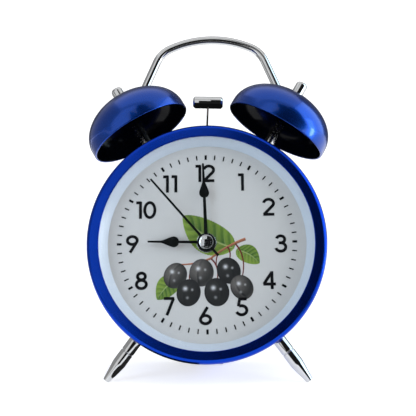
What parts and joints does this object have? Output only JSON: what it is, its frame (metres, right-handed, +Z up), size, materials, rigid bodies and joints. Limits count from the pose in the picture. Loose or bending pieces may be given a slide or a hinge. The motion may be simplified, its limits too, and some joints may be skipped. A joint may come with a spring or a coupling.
{
  "type": "alarm clock",
  "caption": "Twin bell alarm clock: round blue steel case with a bezel, two bells, hammer, bent-rod handle, two splayed legs and a rear foot.",
  "frame": {"origin": "bottom centre of the whole clock's bounding box, on the surface that it stands on", "axes": "+Z up, -Y the way the dial faces, +X to the right as the dial is read; the case leans back 13 degrees"},
  "size_m": [0.112, 0.087, 0.1608],
  "materials": {
    "case_paint": "gloss enamel, blue",
    "bell_paint": "gloss enamel, blue outside and black inside",
    "chrome": "polished plating",
    "steel": "zinc plated",
    "spring_wire": "drawn wire",
    "lens_glass": "clear",
    "reflector": "pale, glossy",
    "dial_card": "printed card",
    "hand_black": "satin black",
    "cover_plastic": "fine texture",
    "knob_plastic": "satin",
    "housing_plastic": "moulded",
    "gear_plastic": "acetal",
    "brass": "turned",
    "pad_rubber": "matt",
    "cell_jacket": "plain jacket",
    "spring_steel": "nickel plated",
    "board": "laminate",
    "coil_wire": "enamelled copper winding",
    "lead_insulation": "vinyl",
    "magnet": "sintered"
  },
  "bodies": {
    "case": {"case_drum": "case_paint", "front_bezel": "case_paint", "lens": "lens_glass", "reflector_ring": "reflector", "dial_plate": "dial_card", "back_cover": "cover_plastic", "battery": "cell_jacket", "battery_contacts": "spring_steel", "cover_screws": "steel", "rear_foot": "pad_rubber", "left_leg": "chrome", "right_leg": "chrome", "leg_nuts": "steel", "left_bell": "bell_paint", "right_bell": "bell_paint", "left_bell_post": "chrome", "right_bell_post": "chrome", "left_bell_nut": "chrome", "right_bell_nut": "chrome", "post_nuts": "steel", "handle": "chrome", "handle_screws": "steel", "ringer_bracket": "steel", "ringer_motor": "steel", "crank_axle": "steel", "hammer_pivot_pin": "steel", "movement_front": "housing_plastic", "train_bridge": "housing_plastic", "movement_rear": "housing_plastic", "movement_nut": "brass", "stator": "steel", "coil": "coil_wire", "circuit_board": "board", "alarm_contact": "spring_steel", "switch_body": "housing_plastic", "lead_wires": "lead_insulation"},
    "second_hand": {"second_hand": "hand_black", "hand_cap": "chrome", "second_wheel": "gear_plastic"},
    "third_wheel": {"third_wheel": "gear_plastic"},
    "minute_hand": {"minute_hand": "hand_black", "centre_wheel": "gear_plastic"},
    "time_setting": {"time_set_knob": "knob_plastic", "minute_wheel": "gear_plastic"},
    "hour_hand": {"hour_hand": "hand_black", "hour_wheel": "gear_plastic"},
    "intermediate_wheel": {"intermediate_wheel": "gear_plastic"},
    "rotor": {"rotor": "magnet"},
    "alarm_setting": {"alarm_set_knob": "knob_plastic", "alarm_pinion": "gear_plastic"},
    "alarm_hand": {"alarm_hand": "hand_black", "alarm_wheel": "gear_plastic"},
    "crank_gear": {"crank_gear": "gear_plastic"},
    "motor_pinion": {"motor_pinion": "brass"},
    "hammer": {"hammer_head": "chrome", "hammer_rod": "spring_wire", "hammer_lever": "steel"},
    "alarm_switch": {"alarm_switch": "knob_plastic"},
    "battery_door": {"battery_door": "cover_plastic"}
  },
  "joints": [
    {"name": "second_hand_spin", "type": "hinge", "parent": "case", "child": "second_hand", "pos_m": [0, -0.01324, 0.05605], "axis": [0, 0.9744, -0.225], "continuous": true},
    {"name": "third_wheel_spin", "type": "hinge", "parent": "case", "child": "third_wheel", "pos_m": [-0.01178, -0.01171, 0.06268], "axis": [0, 0.9744, -0.225], "continuous": true},
    {"name": "minute_hand_spin", "type": "hinge", "parent": "case", "child": "minute_hand", "pos_m": [0, -0.01324, 0.05605], "axis": [0, 0.9744, -0.225], "continuous": true},
    {"name": "time_set_turn", "type": "hinge", "parent": "case", "child": "time_setting", "pos_m": [-0.01247, -0.01486, 0.04904], "axis": [0, 0.9744, -0.225], "continuous": true},
    {"name": "hour_hand_spin", "type": "hinge", "parent": "case", "child": "hour_hand", "pos_m": [0, -0.01324, 0.05605], "axis": [0, 0.9744, -0.225], "continuous": true},
    {"name": "intermediate_wheel_spin", "type": "hinge", "parent": "case", "child": "intermediate_wheel", "pos_m": [0.0048, -0.01137, 0.06415], "axis": [0, 0.9744, -0.225], "continuous": true},
    {"name": "rotor_spin", "type": "hinge", "parent": "case", "child": "rotor", "pos_m": [0.01268, -0.01035, 0.06859], "axis": [0, 0.9744, -0.225], "continuous": true},
    {"name": "alarm_set_turn", "type": "hinge", "parent": "case", "child": "alarm_setting", "pos_m": [0.01299, -0.01493, 0.04874], "axis": [0, 0.9744, -0.225], "continuous": true},
    {"name": "alarm_hand_spin", "type": "hinge", "parent": "case", "child": "alarm_hand", "pos_m": [0, -0.01324, 0.05605], "axis": [0, 0.9744, -0.225], "continuous": true},
    {"name": "crank_gear_spin", "type": "hinge", "parent": "case", "child": "crank_gear", "pos_m": [-0.00105, -0.00402, 0.096], "axis": [0, 0.9744, -0.225], "continuous": true},
    {"name": "motor_pinion_spin", "type": "hinge", "parent": "case", "child": "motor_pinion", "pos_m": [0.00757, -0.00436, 0.09452], "axis": [0, 0.9744, -0.225], "continuous": true},
    {"name": "hammer_swing", "type": "hinge", "parent": "case", "child": "hammer", "pos_m": [-0.0014, -0.00323, 0.08607], "axis": [0, 0.9744, -0.225], "range_deg": [-4.5, 4.5]},
    {"name": "alarm_switch_slide", "type": "slide", "parent": "case", "child": "alarm_switch", "axis": [1, 0, 0], "range_m": [0, 0.004]},
    {"name": "battery_door_pull", "type": "slide", "parent": "case", "child": "battery_door", "axis": [0, 0.9744, -0.225], "range_m": [0, 0.02]}
  ],
  "couplings": [
    {"joint": "third_wheel_spin", "follows": "second_hand_spin", "ratio": -0.13333},
    {"joint": "minute_hand_spin", "follows": "second_hand_spin", "ratio": 0.016667},
    {"joint": "time_set_turn", "follows": "second_hand_spin", "ratio": -0.0055556},
    {"joint": "hour_hand_spin", "follows": "second_hand_spin", "ratio": 0.0013889},
    {"joint": "intermediate_wheel_spin", "follows": "second_hand_spin", "ratio": -5},
    {"joint": "rotor_spin", "follows": "second_hand_spin", "ratio": 30},
    {"joint": "alarm_hand_spin", "follows": "alarm_set_turn", "ratio": -0.3},
    {"joint": "motor_pinion_spin", "follows": "crank_gear_spin", "ratio": -4}
  ]
}
